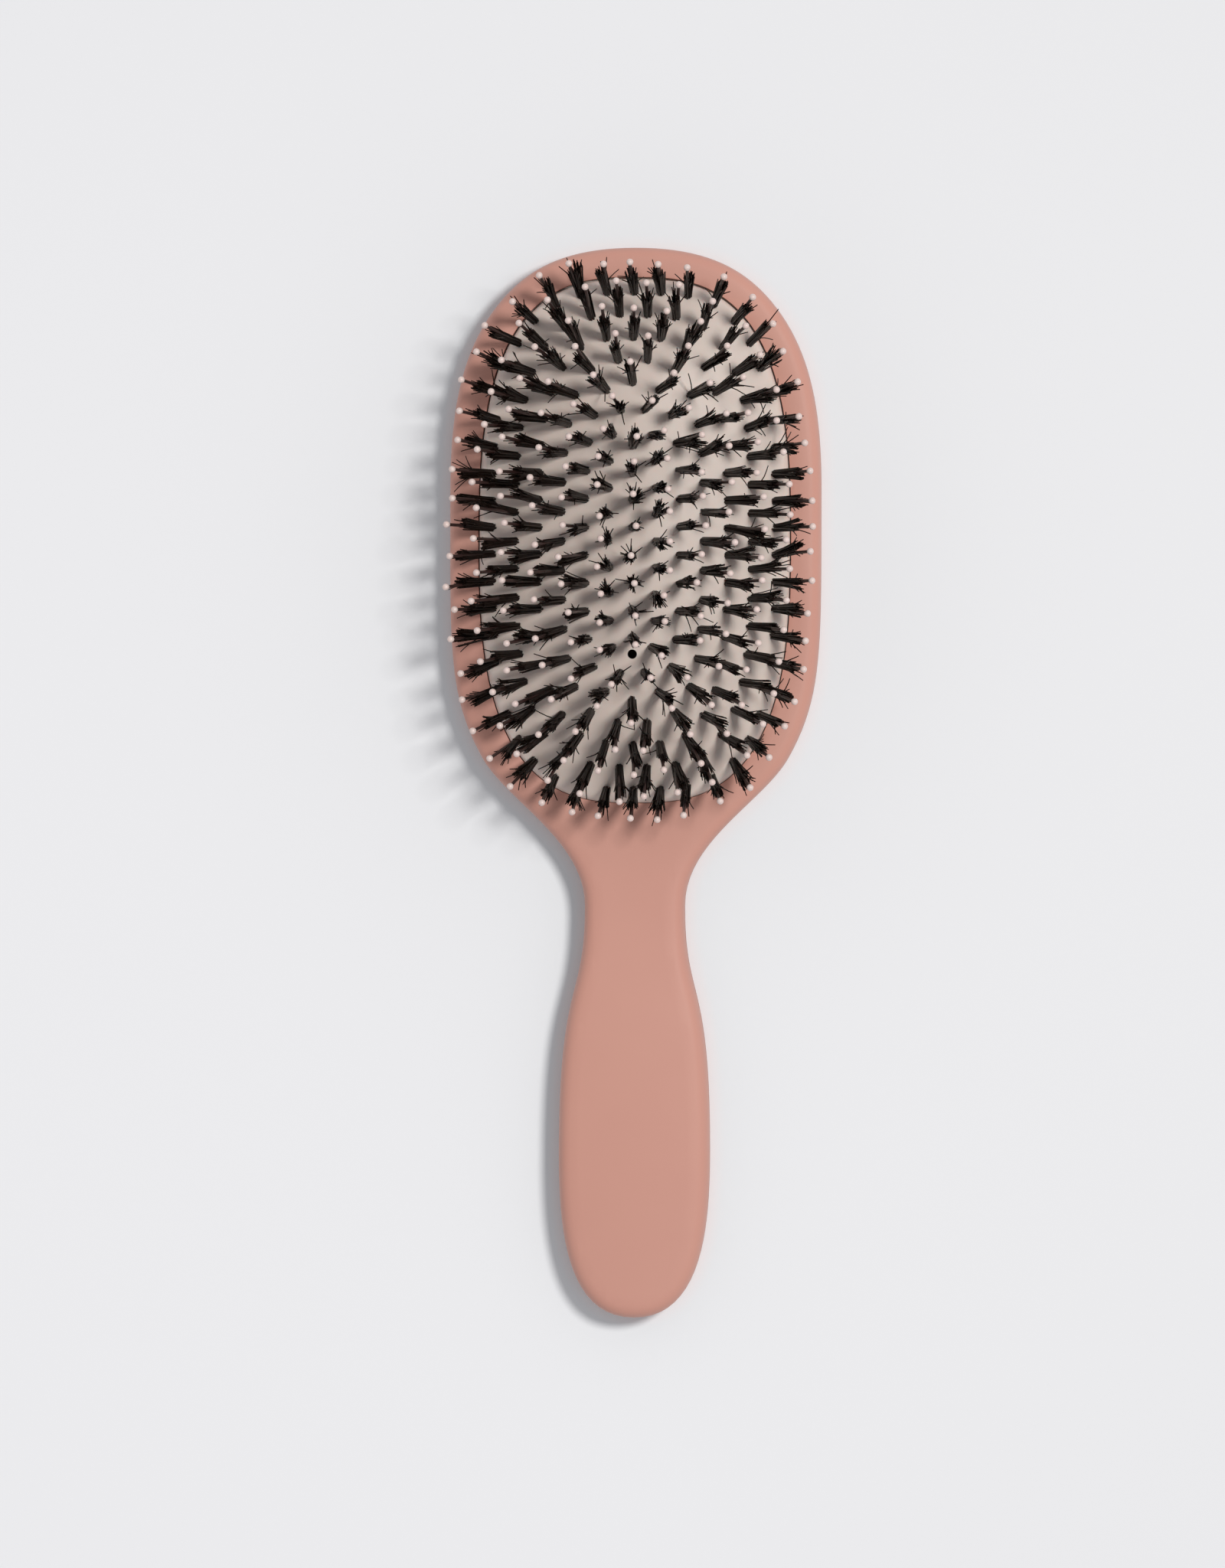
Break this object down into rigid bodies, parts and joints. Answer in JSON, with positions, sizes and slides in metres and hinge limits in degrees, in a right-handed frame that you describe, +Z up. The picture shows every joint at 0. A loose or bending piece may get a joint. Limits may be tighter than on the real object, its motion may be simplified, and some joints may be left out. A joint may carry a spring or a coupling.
{
  "type": "paddle hair brush",
  "caption": "Paddle brush for smoothing and styling hair, with ball-tipped pins in boar-bristle tufts on a domed rubber air cushion, in a wide flat body with a rounded handle.",
  "frame": {"origin": "centre of the outline, on the plane that the back rests on", "axes": "+Z up through the bristles, +Y along the brush towards the head's end, +X across it to the right as seen from the bristle side"},
  "size_m": [0.0834, 0.24, 0.0413],
  "materials": {
    "soft_touch_pink": "matte dusty pink soft-touch coat",
    "greige_rubber": "smooth satin greige rubber",
    "inner_plastic": "plain dark moulded plastic",
    "boar_bristle": "black natural bristle with a dull sheen",
    "dark_nylon": "dark nylon pins with pale pinkish-white ball tips"
  },
  "bodies": {
    "brush_body": {"front_shell": "soft_touch_pink", "back_shell": "soft_touch_pink", "cushion_membrane": "greige_rubber", "cushion_frame": "inner_plastic", "chamber_tray": "inner_plastic"},
    "tuft_ring_1": {"boar_tufts_ring_1_right": "boar_bristle", "boar_tufts_ring_1_left": "boar_bristle", "ball_pins_ring_1_right": "dark_nylon", "ball_pins_ring_1_left": "dark_nylon"},
    "tuft_ring_2": {"boar_tufts_ring_2_right": "boar_bristle", "boar_tufts_ring_2_left": "boar_bristle", "ball_pins_ring_2_right": "dark_nylon", "ball_pins_ring_2_left": "dark_nylon"},
    "tuft_ring_3": {"boar_tufts_ring_3_right": "boar_bristle", "boar_tufts_ring_3_left": "boar_bristle", "ball_pins_ring_3_right": "dark_nylon", "ball_pins_ring_3_left": "dark_nylon"},
    "tuft_ring_4": {"boar_tufts_ring_4": "boar_bristle", "ball_pins_ring_4": "dark_nylon"},
    "tuft_ring_5": {"boar_tufts_ring_5": "boar_bristle", "ball_pins_ring_5": "dark_nylon"},
    "tuft_ring_6": {"boar_tufts_ring_6": "boar_bristle", "ball_pins_ring_6": "dark_nylon"},
    "tuft_centre_row": {"boar_tufts_centre_row": "boar_bristle", "ball_pins_centre_row": "dark_nylon"}
  },
  "joints": [
    {"name": "cushion_press", "type": "slide", "parent": "brush_body", "child": "tuft_centre_row", "axis": [0, 0, -1], "range_m": [0, 0.004], "stiffness_N_per_m": 900, "springref_m": -0.0004, "deforming": ["cushion_membrane"]},
    {"name": "ring_1_press", "type": "slide", "parent": "brush_body", "child": "tuft_ring_1", "axis": [0, 0, -1], "range_m": [0, 0.00172]},
    {"name": "ring_2_press", "type": "slide", "parent": "brush_body", "child": "tuft_ring_2", "axis": [0, 0, -1], "range_m": [0, 0.00237]},
    {"name": "ring_3_press", "type": "slide", "parent": "brush_body", "child": "tuft_ring_3", "axis": [0, 0, -1], "range_m": [0, 0.00293]},
    {"name": "ring_4_press", "type": "slide", "parent": "brush_body", "child": "tuft_ring_4", "axis": [0, 0, -1], "range_m": [0, 0.00338]},
    {"name": "ring_5_press", "type": "slide", "parent": "brush_body", "child": "tuft_ring_5", "axis": [0, 0, -1], "range_m": [0, 0.00373]},
    {"name": "ring_6_press", "type": "slide", "parent": "brush_body", "child": "tuft_ring_6", "axis": [0, 0, -1], "range_m": [0, 0.00396]}
  ],
  "couplings": [
    {"joint": "ring_1_press", "follows": "cushion_press", "ratio": 0.4171},
    {"joint": "ring_2_press", "follows": "cushion_press", "ratio": 0.5802},
    {"joint": "ring_3_press", "follows": "cushion_press", "ratio": 0.719},
    {"joint": "ring_4_press", "follows": "cushion_press", "ratio": 0.8326},
    {"joint": "ring_5_press", "follows": "cushion_press", "ratio": 0.9193},
    {"joint": "ring_6_press", "follows": "cushion_press", "ratio": 0.9768}
  ]
}
